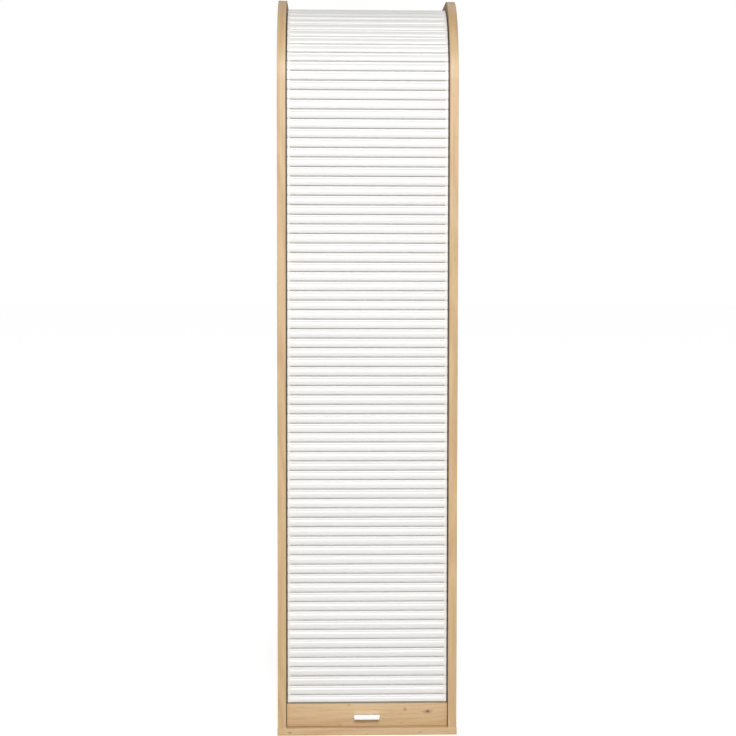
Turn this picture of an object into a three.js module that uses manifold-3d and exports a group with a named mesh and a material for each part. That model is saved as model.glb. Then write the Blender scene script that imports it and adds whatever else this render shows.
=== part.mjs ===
// A tall tambour door cabinet. Two side panels with a rounded front top corner stand on a base
// board. A slatted curtain runs in tracks up the front, round the corner, over the top and down
// behind a false back, pulled by an oak-faced lead rail with a lip handle.
// Millimetres, +Z up, front towards -Y, origin at the centre of the underside.
import * as THREE from 'three';
import { mergeVertices } from 'three/addons/utils/BufferGeometryUtils.js';
import Module from 'manifold-3d';

const wasm = await Module();
wasm.setup();

// Carcass boards
const cabinetHeight = 1920;
const cabinetWidth = 465;
const cabinetDepth = 440;
const sideThickness = 22;
const baseThickness = 19;
const baseOverhang = 1;
const falseBackThickness = 12;
const falseBackSetback = 38;
const backThickness = 5;
const backSetback = 9;
const backGrooveDepth = 6;
const cornerSteps = 24;

// Tambour curtain
const slatPitch = 24.5;
const slatThickness = 8;
const webThickness = 3;
const curtainRecess = 22;
const rearRecess = 20;
const frontBend = 210;
const rearBend = 60;
const slatEndGap = 4;
const tongueReach = 5;
const sectionGap = 0.3;
const frontBendSteps = 24;
const rearBendSteps = 12;
// One slat, from its lower joint to its upper one: a broad rounded face, then the small knuckle
const slatPitchShares = [0.02, 0.05, 0.16, 0.34, 0.58, 0.69, 0.73, 0.86, 0.97];
const slatHeightShares = [0, 0.4, 0.85, 1, 0.96, 0.7, 0.84, 0.8, 0.2];

// Track profiles
const trackWall = 1.2;
const trackClearance = 0.6;
const trackProud = 3.5;
const trackEndGap = 0.8;
const trackFit = 0.3;

// Lead rail, its glides, and the handle
const railHeight = 61;
const railThickness = 16;
const railRestGap = 0.5;
const railFaceThickness = 2.8;
const railSideGap = 1.5;
const glideThickness = 3;
const glideHeight = 40;
const glideSeat = 12;
const glideFit = 0.3;
const handleLength = 70;
const handleHeight = 11;
const handleProjection = 20;
const handleWall = 2;
const handleFlange = 10;
const handleTaper = 3;
const handleTopBelowRail = 28.5;
const bossRadius = 4;
const bossLength = 3;
const handleScrewSpacing = 32;
const handleScrewRadius = 2;
const handleScrewHeadRadius = 4;
const handleScrewHead = 2.5;

// Shelves and what carries them
const shelfThickness = 16;
const shelfFrontSetback = 48;
const shelfSideGap = 1.5;
const shelfCount = 4;
const fixedShelfNumber = 2;
const shelfBackGap = 0.3;
const topPanelCover = 20;
const pinShankRadius = 2.5;
const pinShankLength = 8;
const pinCollarRadius = 4.5;
const pinCollarThickness = 1.2;
const pinPegLength = 9;
const pinInset = 50;
const pinHoleStep = 32;
const dowelRadius = 4;
const dowelLength = 30;
const dowelInPanel = 12;
const dowelInset = 70;

// Screws up through the base board into the side panels
const baseScrewRadius = 2.5;
const baseScrewHeadRadius = 5;
const baseScrewHead = 4;
const baseScrewLength = 48;
const baseScrewRecess = 0.6;
const baseScrewInset = 70;

// Clearances and roundness
const holeClearance = 0.3;
const overrun = 2;
const roundSides = 10;
const halfTurn = Math.PI;
const quarterTurn = Math.PI / 2;

// Planes worked out from the sizes above
const frontY = -cabinetDepth / 2;
const rearY = cabinetDepth / 2;
const innerHalf = cabinetWidth / 2 - sideThickness;
const crestY = frontY + curtainRecess;
const rearCrestY = rearY - rearRecess;
const topCrestZ = cabinetHeight - curtainRecess;
const cornerRadius = frontBend + curtainRecess;
const hingeDepth = slatThickness - webThickness / 2;
const slatHalf = innerHalf - slatEndGap;
const tongueHalf = innerHalf + tongueReach;
const railBottomZ = baseThickness + railRestGap;
const railTopZ = railBottomZ + railHeight;

// The curtain's path, measured along the middle of its web from the top of the lead rail
const frontRadius = frontBend - hingeDepth;
const rearRadius = rearBend - hingeDepth;
const frontCentreY = crestY + frontBend;
const frontCentreZ = topCrestZ - frontBend;
const rearCentreY = rearCrestY - rearBend;
const rearCentreZ = topCrestZ - rearBend;
const frontEnd = frontCentreZ - railTopZ;
const arcEnd = frontEnd + frontRadius * quarterTurn;
const topEnd = arcEnd + rearCentreY - frontCentreY;
const bendEnd = topEnd + rearRadius * quarterTurn;

// Slats in each stretch of the curtain
const frontSlats = Math.floor(frontEnd / slatPitch);
const arcSlats = Math.ceil(arcEnd / slatPitch);
const topSlats = Math.floor(topEnd / slatPitch);
const bendSlats = Math.ceil(bendEnd / slatPitch);
const doorTravel = (frontSlats - 1) * slatPitch;

// Shelf places
const shelfFrontY = frontY + shelfFrontSetback;
const falseBackY = rearY - falseBackSetback - falseBackThickness;
const topPanelZ = railBottomZ + doorTravel + topPanelCover;
const compartment = (topPanelZ - baseThickness - shelfCount * shelfThickness) / (shelfCount + 1);

const materials = {
  oak: new THREE.MeshStandardMaterial({ color: 0xd8b588, roughness: 0.55 }),
  slat: new THREE.MeshStandardMaterial({ color: 0xf7f7f5, roughness: 0.28 }),
  track: new THREE.MeshStandardMaterial({ color: 0x3b3632, roughness: 0.6 }),
  metal: new THREE.MeshStandardMaterial({ color: 0xd9d8d6, roughness: 0.35, metalness: 0.9 }),
  steel: new THREE.MeshStandardMaterial({ color: 0xa9abad, roughness: 0.35, metalness: 1 }),
  dowel: new THREE.MeshStandardMaterial({ color: 0xd9bf95, roughness: 0.8 }),
  back: new THREE.MeshStandardMaterial({ color: 0xcdb08a, roughness: 0.7 }),
};
const cabinet = new THREE.Group();

// A closed geometry as a solid that can be joined and cut
function solid(geometry) {
  geometry.deleteAttribute('normal');
  geometry.deleteAttribute('uv');
  const merged = mergeVertices(geometry);
  const corners = merged.index.array;
  const triVerts = [];
  for (let i = 0; i < corners.length; i += 3) {
    const [a, b, c] = corners.slice(i, i + 3);
    if (a !== b && b !== c && c !== a) triVerts.push(a, b, c);
  }
  return new wasm.Manifold(new wasm.Mesh({
    numProp: 3,
    vertProperties: new Float32Array(merged.attributes.position.array),
    triVerts: new Uint32Array(triVerts),
  }));
}

function place(name, body, material) {
  const { vertProperties, triVerts } = body.getMesh();
  const geometry = new THREE.BufferGeometry();
  geometry.setAttribute('position', new THREE.BufferAttribute(vertProperties, 3));
  geometry.setIndex(new THREE.BufferAttribute(triVerts, 1));
  geometry.computeVertexNormals();
  const mesh = new THREE.Mesh(geometry, material.clone());
  mesh.name = name;
  cabinet.add(mesh);
}

// A board between two opposite corners
function board(low, high) {
  const geometry = new THREE.BoxGeometry(high[0] - low[0], high[1] - low[1], high[2] - low[2]);
  geometry.translate((high[0] + low[0]) / 2, (high[1] + low[1]) / 2, (high[2] + low[2]) / 2);
  return solid(geometry);
}

// A side view outline in Y and Z, stretched from one X to another
function acrossX(shape, fromX, toX) {
  const settings = { depth: toX - fromX, bevelEnabled: false, curveSegments: cornerSteps / 2 };
  const geometry = new THREE.ExtrudeGeometry(shape, settings);
  const turned = new THREE.Matrix4().makeBasis(
    new THREE.Vector3(0, 1, 0), new THREE.Vector3(0, 0, 1), new THREE.Vector3(1, 0, 0));
  geometry.applyMatrix4(turned.setPosition(fromX, 0, 0));
  return solid(geometry);
}

function outline(points) {
  return new THREE.Shape(points.map(([y, z]) => new THREE.Vector2(y, z)));
}

// A turned piece: its profile lists radius and distance, and it runs from a point along an axis
function turned(profile, start, axis) {
  const points = profile.map(([radius, along]) => new THREE.Vector2(radius, along));
  const geometry = new THREE.LatheGeometry(points, roundSides);
  const turn = new THREE.Quaternion().setFromUnitVectors(new THREE.Vector3(0, 1, 0), axis);
  geometry.applyQuaternion(turn);
  geometry.translate(...start);
  return solid(geometry);
}

function rod(radius, length, start, axis) {
  return turned([[0, 0], [radius, 0], [radius, length], [0, length]], start, axis);
}

// A hole is wide enough that its flat sides clear the round piece in it
function hole(radius, length, start, axis) {
  return rod((radius + holeClearance) / Math.cos(halfTurn / roundSides), length, start, axis);
}

// A point of the curtain's path, given by distance along it and height outside its web's middle
function pathPoint(distance, height) {
  if (distance <= frontEnd) return [crestY + hingeDepth - height, railTopZ + distance];
  if (distance <= arcEnd) {
    const angle = (distance - frontEnd) / frontRadius;
    const reach = frontRadius + height;
    return [frontCentreY - reach * Math.cos(angle), frontCentreZ + reach * Math.sin(angle)];
  }
  if (distance <= topEnd) return [frontCentreY + distance - arcEnd, topCrestZ - hingeDepth + height];
  if (distance <= bendEnd) {
    const angle = (distance - topEnd) / rearRadius;
    const reach = rearRadius + height;
    return [rearCentreY + reach * Math.sin(angle), rearCentreZ + reach * Math.cos(angle)];
  }
  return [rearCrestY - hingeDepth + height, rearCentreZ - distance + bendEnd];
}

// A strip along the whole path, from the foot of the front to the foot of the rear channel
function pathBand(outward, inward, footDrop) {
  const distances = [baseThickness - railTopZ - footDrop];
  for (let i = 0; i <= frontBendSteps; i += 1) {
    distances.push(frontEnd + (arcEnd - frontEnd) * i / frontBendSteps);
  }
  for (let i = 0; i <= rearBendSteps; i += 1) {
    distances.push(topEnd + (bendEnd - topEnd) * i / rearBendSteps);
  }
  distances.push(bendEnd + rearCentreZ - baseThickness + footDrop);
  const outer = distances.map((distance) => pathPoint(distance, outward));
  const inner = distances.map((distance) => pathPoint(distance, -inward));
  return outline([...outer, ...inner.reverse()]);
}

// A stretch of the curtain: joined slats, with a thin tongue that runs in the tracks at each end
function curtainStretch(firstSlat, lastSlat) {
  const start = firstSlat * slatPitch + sectionGap;
  const end = lastSlat * slatPitch;
  const backDistances = [];
  const outer = [];
  for (let slat = firstSlat; slat < lastSlat; slat += 1) {
    slatPitchShares.forEach((share, i) => {
      const rise = webThickness / 2 + slatHeightShares[i] * (slatThickness - webThickness);
      outer.push(pathPoint(Math.max((slat + share) * slatPitch, start), rise));
    });
    for (let quarter = 0; quarter < 4; quarter += 1) backDistances.push((slat + quarter / 4) * slatPitch);
  }
  backDistances.push(end);
  const bent = backDistances.filter((distance) => distance > start && distance < end
    && ((distance > frontEnd && distance < arcEnd) || (distance > topEnd && distance < bendEnd)));
  const stations = [start, ...bent, end];
  const back = stations.map((distance) => pathPoint(distance, -webThickness / 2)).reverse();
  const front = stations.map((distance) => pathPoint(distance, webThickness / 2));
  const ends = [pathPoint(start, webThickness / 2), pathPoint(end, webThickness / 2)];
  const faces = acrossX(outline([ends[0], ...outer, ends[1], ...back]), -slatHalf, slatHalf);
  return faces.add(acrossX(outline([...front, ...back]), -tongueHalf, tongueHalf));
}

// Side panels, with the routed track groove, the back panel's groove and the bored holes
function sidePanelOutline() {
  const shape = new THREE.Shape();
  shape.moveTo(frontY, baseThickness);
  shape.lineTo(rearY, baseThickness);
  shape.lineTo(rearY, cabinetHeight);
  shape.lineTo(frontY + cornerRadius, cabinetHeight);
  shape.absarc(frontY + cornerRadius, cabinetHeight - cornerRadius, cornerRadius,
    quarterTurn, halfTurn, false);
  shape.closePath();
  return shape;
}

const shelfBottomZ = (number) => baseThickness + (number + 1) * compartment + number * shelfThickness;
const shelfHoleYs = (inset) => [shelfFrontY + inset, falseBackY - inset];
const trackBack = webThickness / 2 + trackClearance + trackWall;
const trackFloorX = tongueHalf + trackEndGap;
const trackOuterX = trackFloorX + trackWall;
const backFrontY = rearY - backSetback - backThickness;

function sidePanel(side) {
  const into = new THREE.Vector3(side, 0, 0);
  const outerX = side * (innerHalf + sideThickness);
  const innerX = side * innerHalf;
  const span = (a, b) => [Math.min(a, b), Math.max(a, b)];
  let panel = acrossX(sidePanelOutline(), ...span(innerX, outerX));
  const mouthX = side * (innerHalf - overrun);
  const grooveWidth = trackBack + trackFit;
  panel = panel.subtract(acrossX(pathBand(grooveWidth, grooveWidth, overrun),
    ...span(mouthX, side * (trackOuterX + trackFit))));
  const [backLowX, backHighX] = span(mouthX, side * (innerHalf + backGrooveDepth + trackFit));
  panel = panel.subtract(board(
    [backLowX, backFrontY - trackFit, baseThickness - overrun],
    [backHighX, backFrontY + backThickness + trackFit, topCrestZ + trackFit]));
  for (let number = 0; number < shelfCount; number += 1) {
    const bottom = shelfBottomZ(number);
    if (number === fixedShelfNumber) {
      for (const y of shelfHoleYs(dowelInset)) {
        panel = panel.subtract(dowelHole(mouthX, y, bottom, into, dowelInPanel));
      }
    } else {
      for (const y of shelfHoleYs(pinInset)) {
        for (const step of [-pinHoleStep, 0, pinHoleStep]) {
          const z = bottom - pinShankRadius - holeClearance + step;
          panel = panel.subtract(
            hole(pinShankRadius, overrun + pinShankLength + holeClearance, [mouthX, y, z], into));
        }
      }
    }
  }
  for (const y of shelfHoleYs(dowelInset)) {
    panel = panel.subtract(dowelHole(mouthX, y, topPanelZ, into, dowelInPanel));
  }
  for (const y of [frontY + baseScrewInset, rearY - baseScrewInset]) {
    const start = [side * (innerHalf + sideThickness / 2), y, baseThickness - overrun];
    const depth = overrun + baseScrewLength - baseThickness + baseScrewRecess + holeClearance;
    panel = panel.subtract(hole(baseScrewRadius, depth, start, new THREE.Vector3(0, 0, 1)));
  }
  return panel;
}

function dowelHole(mouthX, y, boardBottom, into, depth) {
  const start = [mouthX, y, boardBottom + shelfThickness / 2];
  return hole(dowelRadius, overrun + depth + holeClearance, start, into);
}

// A board between the side panels, held by two dowels at each end
function dowelledBoard(bottom) {
  let piece = board([-innerHalf, shelfFrontY, bottom], [innerHalf, falseBackY, bottom + shelfThickness]);
  for (const side of [-1, 1]) {
    const inward = new THREE.Vector3(-side, 0, 0);
    for (const y of shelfHoleYs(dowelInset)) {
      const mouthX = side * (innerHalf + overrun);
      piece = piece.subtract(dowelHole(mouthX, y, bottom, inward, dowelLength - dowelInPanel));
    }
  }
  return piece;
}

function placeDowels(prefix, bottom) {
  for (const [label, side] of [['left', -1], ['right', 1]]) {
    shelfHoleYs(dowelInset).forEach((y, i) => {
      const start = [side * (innerHalf + dowelInPanel), y, bottom + shelfThickness / 2];
      const dowel = rod(dowelRadius, dowelLength, start, new THREE.Vector3(-side, 0, 0));
      place(`${prefix}_dowel_${label}_${['front', 'rear'][i]}`, dowel, materials.dowel);
    });
  }
}

function placePins(shelfName, bottom) {
  const collarEnd = pinShankLength + pinCollarThickness;
  const profile = [[0, 0], [pinShankRadius, 0], [pinShankRadius, pinShankLength],
    [pinCollarRadius, pinShankLength], [pinCollarRadius, collarEnd], [pinShankRadius, collarEnd],
    [pinShankRadius, collarEnd + pinPegLength], [0, collarEnd + pinPegLength]];
  for (const [label, side] of [['left', -1], ['right', 1]]) {
    shelfHoleYs(pinInset).forEach((y, i) => {
      const start = [side * (innerHalf + pinShankLength), y, bottom - pinShankRadius - holeClearance];
      const pin = turned(profile, start, new THREE.Vector3(-side, 0, 0));
      place(`${shelfName}_pin_${label}_${['front', 'rear'][i]}`, pin, materials.steel);
    });
  }
}

// Base board and its screws
function baseBoard() {
  const half = cabinetWidth / 2 + baseOverhang;
  let piece = board([-half, frontY, 0], [half, rearY, baseThickness]);
  for (const start of baseScrewStarts()) {
    const below = [start[0], start[1], -overrun];
    const headDepth = overrun + baseScrewRecess + baseScrewHead + holeClearance;
    piece = piece.subtract(hole(baseScrewHeadRadius, headDepth, below, new THREE.Vector3(0, 0, 1)));
    piece = piece.subtract(
      hole(baseScrewRadius, baseThickness + overrun * 2, below, new THREE.Vector3(0, 0, 1)));
  }
  return piece;
}

function baseScrewStarts() {
  const x = innerHalf + sideThickness / 2;
  return [-x, x].flatMap((screwX) => [frontY + baseScrewInset, rearY - baseScrewInset]
    .map((y) => [screwX, y, baseScrewRecess]));
}

// The track: a channel with a wall on each side of the tongue and a floor at its end
function trackProfile(side) {
  const span = (a, b) => [Math.min(a, b), Math.max(a, b)];
  const channel = acrossX(pathBand(trackBack, trackBack, -trackFit),
    ...span(side * (innerHalf - trackProud), side * trackOuterX));
  const slot = trackBack - trackWall;
  return channel.subtract(acrossX(pathBand(slot, slot, overrun),
    ...span(side * (innerHalf - trackProud - overrun), side * trackFloorX)));
}

// The lead rail, slotted at its ends for the glides and bored for the handle's screws
const railBackY = crestY + railThickness;
const glideY = crestY + hingeDepth;
const glideLowZ = railBottomZ + (railHeight - glideHeight) / 2;
const handleTopZ = railTopZ - handleTopBelowRail;
const bossZ = handleTopZ - handleWall - bossRadius;

function leadRail() {
  // the front face laps over the tracks, close to the side panels
  const faceHalf = innerHalf - railSideGap;
  let rail = board([-slatHalf, crestY, railBottomZ], [slatHalf, railBackY, railTopZ])
    .add(board([-faceHalf, crestY, railBottomZ], [faceHalf, crestY + railFaceThickness, railTopZ]));
  const slotHalf = glideThickness / 2 + glideFit;
  for (const side of [-1, 1]) {
    const ends = [side * (slatHalf - glideSeat - glideFit), side * (slatHalf + overrun)];
    rail = rail.subtract(board(
      [Math.min(...ends), glideY - slotHalf, glideLowZ - glideFit],
      [Math.max(...ends), glideY + slotHalf, glideLowZ + glideHeight + glideFit]));
    const start = [side * handleScrewSpacing / 2, railBackY + overrun, bossZ];
    const length = railThickness + overrun * 2;
    rail = rail.subtract(hole(handleScrewRadius, length, start, new THREE.Vector3(0, -1, 0)));
  }
  return rail;
}

function glide(side) {
  const ends = [side * (slatHalf - glideSeat), side * tongueHalf];
  return board([Math.min(...ends), glideY - glideThickness / 2, glideLowZ],
    [Math.max(...ends), glideY + glideThickness / 2, glideLowZ + glideHeight]);
}

// Lip handle: a flange on the rail, a plate out from it and a lip that hangs from the plate
function handle() {
  const half = handleLength / 2;
  const lipOuterY = crestY - handleProjection;
  let piece = board([-half, crestY - handleWall, handleTopZ - handleFlange], [half, crestY, handleTopZ]);
  piece = piece.add(board([-half, lipOuterY, handleTopZ - handleWall], [half, crestY, handleTopZ]));
  const lip = outline([[half - handleTaper, handleTopZ - handleHeight], [half, handleTopZ],
    [-half, handleTopZ], [handleTaper - half, handleTopZ - handleHeight]]);
  const geometry = new THREE.ExtrudeGeometry(lip, { depth: handleWall, bevelEnabled: false });
  geometry.rotateX(quarterTurn);
  geometry.translate(0, lipOuterY + handleWall, 0);
  piece = piece.add(solid(geometry));
  for (const x of [-handleScrewSpacing / 2, handleScrewSpacing / 2]) {
    const forward = new THREE.Vector3(0, -1, 0);
    piece = piece.add(rod(bossRadius, handleWall + bossLength, [x, crestY, bossZ], forward));
    const start = [x, crestY + overrun, bossZ];
    const length = handleWall + bossLength + overrun * 2;
    piece = piece.subtract(hole(handleScrewRadius, length, start, forward));
  }
  return piece;
}

function handleScrew(x) {
  const shank = railThickness + handleWall + bossLength;
  const profile = [[0, 0], [handleScrewHeadRadius, 0], [handleScrewHeadRadius, handleScrewHead],
    [handleScrewRadius, handleScrewHead], [handleScrewRadius, handleScrewHead + shank],
    [0, handleScrewHead + shank]];
  return turned(profile, [x, railBackY + handleScrewHead, bossZ], new THREE.Vector3(0, -1, 0));
}

// Fixed pieces
place('base_board', baseBoard(), materials.oak);
for (const [label, side] of [['left', -1], ['right', 1]]) {
  place(`${label}_side_panel`, sidePanel(side), materials.oak);
  place(`${label}_track`, trackProfile(side), materials.track);
}
place('inner_top_panel', dowelledBoard(topPanelZ), materials.oak);
placeDowels('top_panel', topPanelZ);
place('false_back', board([-innerHalf, falseBackY, baseThickness],
  [innerHalf, falseBackY + falseBackThickness, topPanelZ + shelfThickness]), materials.oak);
const backHalf = innerHalf + backGrooveDepth;
place('back_panel', board([-backHalf, backFrontY, baseThickness],
  [backHalf, backFrontY + backThickness, topCrestZ]), materials.back);
baseScrewStarts().forEach((start, i) => {
  const profile = [[0, 0], [baseScrewHeadRadius, 0], [baseScrewHeadRadius, baseScrewHead],
    [baseScrewRadius, baseScrewHead], [baseScrewRadius, baseScrewLength], [0, baseScrewLength]];
  place(`base_screw_${i + 1}`, turned(profile, start, new THREE.Vector3(0, 0, 1)), materials.steel);
});

// Shelves
let adjustableNumber = 0;
for (let number = 0; number < shelfCount; number += 1) {
  const bottom = shelfBottomZ(number);
  if (number === fixedShelfNumber) {
    place('fixed_shelf', dowelledBoard(bottom), materials.oak);
    placeDowels('fixed_shelf', bottom);
  } else {
    adjustableNumber += 1;
    const name = `shelf_${adjustableNumber}`;
    const half = innerHalf - shelfSideGap;
    place(name, board([-half, shelfFrontY, bottom],
      [half, falseBackY - shelfBackGap, bottom + shelfThickness]), materials.oak);
    placePins(name, bottom);
  }
}

// Curtain
place('curtain_front', curtainStretch(0, frontSlats), materials.slat);
place('curtain_arc', curtainStretch(frontSlats, arcSlats), materials.slat);
place('curtain_top', curtainStretch(arcSlats, topSlats), materials.slat);
place('curtain_rear_bend', curtainStretch(topSlats, bendSlats), materials.slat);
place('tail_slat', curtainStretch(bendSlats, bendSlats + 1), materials.slat);

// Lead rail
place('lead_rail', leadRail(), materials.oak);
place('left_glide', glide(-1), materials.track);
place('right_glide', glide(1), materials.track);
place('handle', handle(), materials.metal);
place('handle_screw_left', handleScrew(-handleScrewSpacing / 2), materials.steel);
place('handle_screw_right', handleScrew(handleScrewSpacing / 2), materials.steel);

export default cabinet;
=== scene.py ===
# Tambour door cabinet: oak decor boards, a white slatted curtain in dark tracks, a lip handle.
# Front towards -Y, up is +Z. The pieces' sizes are in millimetres, camera and studio in metres.
import math
import bmesh
import bpy
from mathutils import Matrix, Vector


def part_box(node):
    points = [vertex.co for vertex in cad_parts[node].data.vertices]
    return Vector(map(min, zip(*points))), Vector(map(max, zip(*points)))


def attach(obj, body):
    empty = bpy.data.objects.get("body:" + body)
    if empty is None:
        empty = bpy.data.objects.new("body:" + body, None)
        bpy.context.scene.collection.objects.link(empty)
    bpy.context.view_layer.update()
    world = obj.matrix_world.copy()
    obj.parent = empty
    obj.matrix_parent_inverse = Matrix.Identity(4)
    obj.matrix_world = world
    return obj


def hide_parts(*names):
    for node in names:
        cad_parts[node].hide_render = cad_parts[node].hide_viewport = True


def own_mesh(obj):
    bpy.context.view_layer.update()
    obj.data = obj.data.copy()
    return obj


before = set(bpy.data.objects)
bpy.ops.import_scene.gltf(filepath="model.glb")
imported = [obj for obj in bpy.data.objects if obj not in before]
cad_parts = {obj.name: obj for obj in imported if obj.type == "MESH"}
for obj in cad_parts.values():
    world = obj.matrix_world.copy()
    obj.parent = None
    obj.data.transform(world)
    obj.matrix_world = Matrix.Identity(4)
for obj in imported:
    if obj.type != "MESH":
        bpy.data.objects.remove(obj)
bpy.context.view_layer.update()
scene = bpy.context.scene
bothSides = (("left", -1), ("right", 1))


def metres(value):
    return value / 1000


def perMetre(value):
    return 1000 / value


def linearColour(code):
    # sRGB hex to the linear numbers that shaders want
    def toLinear(share):
        return share / 12.92 if share <= 0.04045 else ((share + 0.055) / 1.055) ** 2.4

    return [toLinear(int(code[i:i + 2], 16) / 255) for i in (1, 3, 5)] + [1.0]


def setAll(item, **settings):
    for name, value in settings.items():
        setattr(item, name, value)


def addNode(tree, kind, inputs=(), stops=None, **settings):
    # One node with its settings, inputs by name or in order, and a colour ramp's stops
    node = tree.nodes.new(kind)
    setAll(node, **settings)
    for key, value in inputs.items() if isinstance(inputs, dict) else enumerate(inputs):
        found = [s for s in node.inputs if s.identifier == key or s.name == key]
        socket = node.inputs[key] if isinstance(key, int) else next(
            (s for s in found if s.enabled), found[0])
        if isinstance(value, bpy.types.Node):
            value = next(s for s in value.outputs if s.enabled)
        if isinstance(value, bpy.types.NodeSocket):
            tree.links.new(value, socket)
        elif isinstance(value, str) and value.startswith("#"):
            socket.default_value = linearColour(value)
        else:
            socket.default_value = value
    if stops:
        ramp = node.color_ramp.elements
        while len(ramp) < len(stops):
            ramp.new(1.0)
        for element, (place, code) in zip(ramp, stops):
            element.position = place
            element.color = linearColour(code)
    return node


def addObject(name, data):
    item = bpy.data.objects.new(name, data)
    scene.collection.objects.link(item)
    return item


def newMaterial(name):
    material = bpy.data.materials.new(name)
    material.use_nodes = True
    material.node_tree.nodes.clear()
    return material, material.node_tree


# Camera at the photograph's place, found from the cabinet's edges and the slat joints

cameraPlace = {
    "location": (-0.0912, -5.2444, 1.2606), "yaw": 0.0420, "pitch": 0.0601, "roll": 0.0026,
    "optics": {"sensor_width": 36.0, "lens": 95.66, "shift_x": -0.0628, "clip_start": 0.05,
               "clip_end": 200},
}


def addCamera():
    data = bpy.data.cameras.new("photoCamera")
    setAll(data, **cameraPlace["optics"])
    yaw, pitch, roll = (cameraPlace[key] for key in ("yaw", "pitch", "roll"))
    ahead = Vector((math.sin(yaw) * math.cos(pitch), math.cos(yaw) * math.cos(pitch), -math.sin(pitch)))
    level = Vector((math.cos(yaw), -math.sin(yaw), 0))
    upright = level.cross(ahead)
    right = level * math.cos(roll) + upright * math.sin(roll)
    up = upright * math.cos(roll) - level * math.sin(roll)
    turn = Matrix((right, up, -ahead)).transposed().to_4x4()
    camera = addObject("photoCamera", data)
    camera.matrix_world = Matrix.Translation(cameraPlace["location"]) @ turn
    scene.camera = camera


addCamera()
print("camera ready")

# Studio: white floor and backdrop, a soft key above the front, a wide fill behind the camera, and
# two low lamps behind, which reach only the sides and the back

studio = {
    "key": {"place": (0.2, -7.0, 4.9), "aim": (0, -0.2, 0.9), "size": (2.6, 1.6), "power": 372},
    "fill": {"place": (0.0, -7.5, 2.8), "aim": (0, 0, 1.2), "size": (4.2, 2.0), "power": 128},
    "leftRear": {"place": (-4.6, 2.2, 1.0), "aim": (0, 0, 1.0), "size": (3.0, 1.6), "power": 140},
    "rightRear": {"place": (4.6, 2.2, 1.0), "aim": (0, 0, 1.0), "size": (3.0, 1.6), "power": 140},
    "room": 0.05,           # the world's light, which is 1 where it is seen directly
    "white": "#FFFFFF",
    "paint": "#E8E8E8",
    "floorHalf": 40.0,
    # what the camera sees of the floor is lifted to white, less where the shadow lies
    "liftFrom": 0.8, "liftTo": 5.0, "liftNear": 0.64, "liftFar": 0.95,
}


def addLamp(name, settings):
    data = bpy.data.lights.new(name, "AREA")
    data.shape = "RECTANGLE"
    data.size, data.size_y = settings["size"]
    data.energy = settings["power"]
    place, aim = Vector(settings["place"]), Vector(settings["aim"])
    lamp = addObject(name, data)
    lamp.location = place
    lamp.rotation_euler = (aim - place).to_track_quat("-Z", "Y").to_euler()
    lamp.visible_camera = False


def seenDirectly(tree):
    # 1 for rays from the camera, from shiny metal and through clear parts, else 0
    rays = addNode(tree, "ShaderNodeLightPath").outputs
    seen = rays["Is Camera Ray"]
    for kind in ("Is Glossy Ray", "Is Transmission Ray"):
        seen = addNode(tree, "ShaderNodeMath", [seen, rays[kind]], operation="MAXIMUM")
    return seen


def addWorld():
    world = bpy.data.worlds.new("paleStudio")
    world.use_nodes = True
    scene.world = world
    tree = world.node_tree
    tree.nodes.clear()
    strength = addNode(tree, "ShaderNodeMapRange", {
        "Value": seenDirectly(tree), "To Min": studio["room"], "To Max": 1.0})
    back = addNode(tree, "ShaderNodeBackground", {"Color": studio["white"], "Strength": strength})
    addNode(tree, "ShaderNodeOutputWorld", [back])


def addFloor():
    half = studio["floorHalf"]
    mesh = bpy.data.meshes.new("studioFloor")
    mesh.from_pydata([(-half, -half, 0), (half, -half, 0), (half, half, 0), (-half, half, 0)], [],
                     [(0, 1, 2, 3)])
    floor = addObject("studioFloor", mesh)
    paint, tree = newMaterial("matPaintedFloor")
    matt = addNode(tree, "ShaderNodeBsdfDiffuse", {"Color": studio["paint"]})
    place = addNode(tree, "ShaderNodeTexCoord").outputs["Object"]
    away = addNode(tree, "ShaderNodeVectorMath", [place], operation="LENGTH").outputs["Value"]
    lift = addNode(tree, "ShaderNodeMapRange", {
        "Value": away, "From Min": studio["liftFrom"], "From Max": studio["liftTo"],
        "To Min": studio["liftNear"], "To Max": studio["liftFar"]})
    seen = addNode(tree, "ShaderNodeMath", [lift, seenDirectly(tree)], operation="MULTIPLY")
    glow = addNode(tree, "ShaderNodeEmission", {"Color": studio["white"], "Strength": seen})
    both = addNode(tree, "ShaderNodeAddShader", [matt, glow])
    addNode(tree, "ShaderNodeOutputMaterial", [both])
    mesh.materials.append(paint)


scene.view_settings.view_transform = "Standard"
for name in ("key", "fill", "leftRear", "rightRear"):
    addLamp(name + "Light", studio[name])
addWorld()
addFloor()
print("studio ready")

# Materials

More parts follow.
